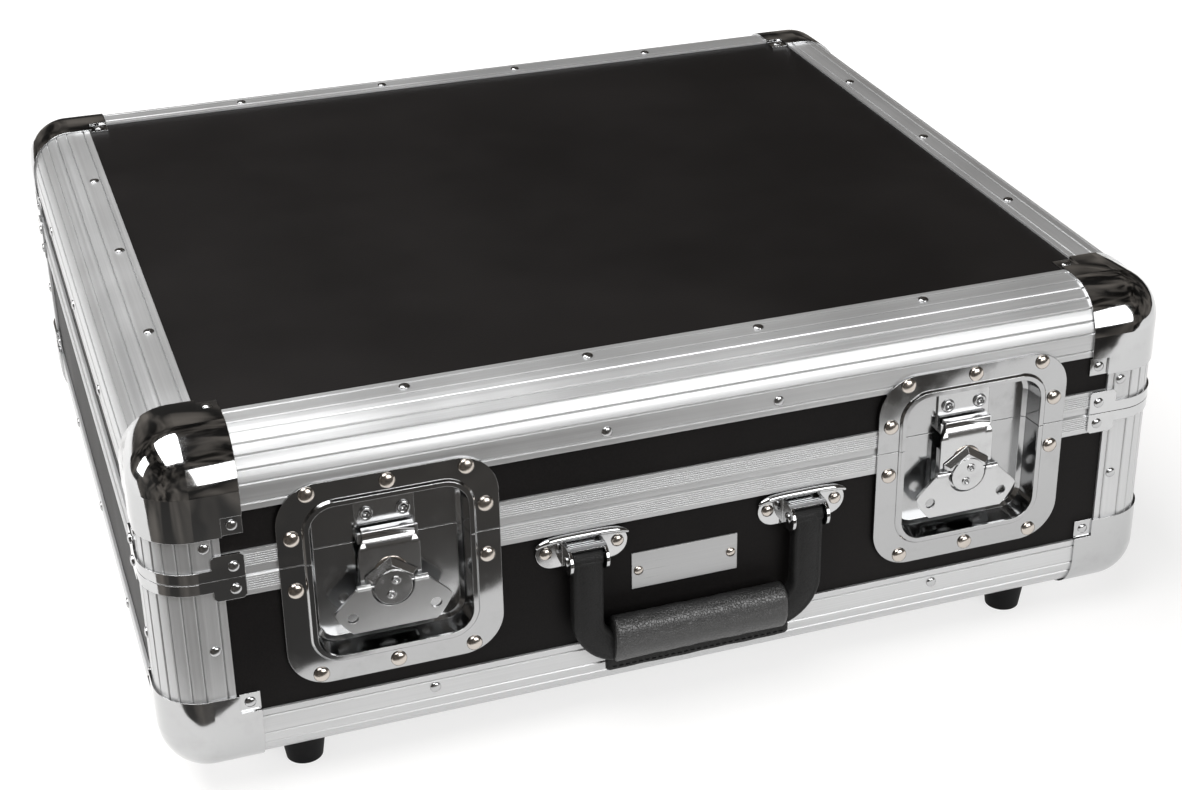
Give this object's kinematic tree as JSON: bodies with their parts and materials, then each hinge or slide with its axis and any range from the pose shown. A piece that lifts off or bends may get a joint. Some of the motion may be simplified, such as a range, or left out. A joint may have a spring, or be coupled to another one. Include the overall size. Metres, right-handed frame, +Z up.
{
  "type": "turntable carrying case",
  "caption": "Flat hinged carrying case: black panels in grooved aluminium edging, ball corners, two recessed twist latches, folding front handle, rubber feet and foam lining.",
  "frame": {"origin": "centre of the closed case's footprint, at the underside of its feet", "axes": "+X to the right seen from the latches, +Y from the front wall to the hinges, +Z up"},
  "size_m": [0.5224, 0.4785, 0.1942],
  "materials": {
    "brushed_aluminium": "satin anodised, brushed along its length",
    "black_laminate": "black satin laminate on plywood",
    "fitting_chrome": "polished chrome plate on steel",
    "dish_chrome": "chrome plate on pressed steel",
    "plate_metal": "brushed silver, blank",
    "handle_leather": "black grained",
    "rubber_feet": "matt black",
    "foam_lining": "black open foam"
  },
  "bodies": {
    "base": {"base_bottom_panel": "black_laminate", "base_corner_braces": "fitting_chrome", "base_corner_caps": "fitting_chrome", "base_corner_posts": "brushed_aluminium", "base_dish_rivets": "dish_chrome", "base_foam": "foam_lining", "base_front_closing": "brushed_aluminium", "base_front_edge": "brushed_aluminium", "base_front_panel": "black_laminate", "base_hinge_leaves": "fitting_chrome", "base_left_closing": "brushed_aluminium", "base_left_edge": "brushed_aluminium", "base_left_panel": "black_laminate", "base_rear_closing": "brushed_aluminium", "base_rear_edge": "brushed_aluminium", "base_rear_panel": "black_laminate", "base_right_closing": "brushed_aluminium", "base_right_edge": "brushed_aluminium", "base_right_panel": "black_laminate", "feet": "rubber_feet", "handle_brackets": "fitting_chrome", "hinge_pins": "fitting_chrome", "left_lower_dish": "dish_chrome", "name_plate": "plate_metal", "right_lower_dish": "dish_chrome"},
    "lid": {"keepers": "fitting_chrome", "left_upper_dish": "dish_chrome", "lid_corner_braces": "fitting_chrome", "lid_corner_caps": "fitting_chrome", "lid_corner_posts": "brushed_aluminium", "lid_dish_rivets": "dish_chrome", "lid_foam": "foam_lining", "lid_front_closing": "brushed_aluminium", "lid_front_edge": "brushed_aluminium", "lid_front_panel": "black_laminate", "lid_hinge_leaves": "fitting_chrome", "lid_left_closing": "brushed_aluminium", "lid_left_edge": "brushed_aluminium", "lid_left_panel": "black_laminate", "lid_rear_closing": "brushed_aluminium", "lid_rear_edge": "brushed_aluminium", "lid_rear_panel": "black_laminate", "lid_right_closing": "brushed_aluminium", "lid_right_edge": "brushed_aluminium", "lid_right_panel": "black_laminate", "lid_top_panel": "black_laminate", "right_upper_dish": "dish_chrome"},
    "handle": {"handle": "handle_leather"},
    "left_hub": {"left_hub": "fitting_chrome"},
    "left_wing": {"left_wing": "fitting_chrome"},
    "left_draw_plate": {"left_draw_plate": "fitting_chrome"},
    "right_hub": {"right_hub": "fitting_chrome"},
    "right_wing": {"right_wing": "fitting_chrome"},
    "right_draw_plate": {"right_draw_plate": "fitting_chrome"}
  },
  "joints": [
    {"name": "lid_hinge", "type": "hinge", "parent": "base", "child": "lid", "pos_m": [0, 0.23605, 0.12615], "axis": [-1, 0, 0], "range_deg": [0, 100]},
    {"name": "handle_pivot", "type": "hinge", "parent": "base", "child": "handle", "pos_m": [0, -0.23005, 0.104], "axis": [-1, 0, 0], "range_deg": [0, 95]},
    {"name": "left_hub_turn", "type": "hinge", "parent": "base", "child": "left_hub", "pos_m": [-0.149, -0.22345, 0.1045], "axis": [0, -1, 0], "range_deg": [0, 180]},
    {"name": "left_wing_fold", "type": "hinge", "parent": "left_hub", "child": "left_wing", "pos_m": [-0.149, -0.2221, 0.106], "axis": [-1, 0, 0], "range_deg": [0, 90]},
    {"name": "left_draw_slide", "type": "slide", "parent": "base", "child": "left_draw_plate", "axis": [0, 0, 1], "range_m": [0, 0.008]},
    {"name": "right_hub_turn", "type": "hinge", "parent": "base", "child": "right_hub", "pos_m": [0.149, -0.22345, 0.1045], "axis": [0, -1, 0], "range_deg": [0, 180]},
    {"name": "right_wing_fold", "type": "hinge", "parent": "right_hub", "child": "right_wing", "pos_m": [0.149, -0.2221, 0.106], "axis": [-1, 0, 0], "range_deg": [0, 90]},
    {"name": "right_draw_slide", "type": "slide", "parent": "base", "child": "right_draw_plate", "axis": [0, 0, 1], "range_m": [0, 0.008]}
  ],
  "couplings": [
    {"joint": "left_draw_slide", "follows": "left_hub_turn", "m_per_rad": 0.002546},
    {"joint": "right_draw_slide", "follows": "right_hub_turn", "m_per_rad": 0.002546}
  ]
}
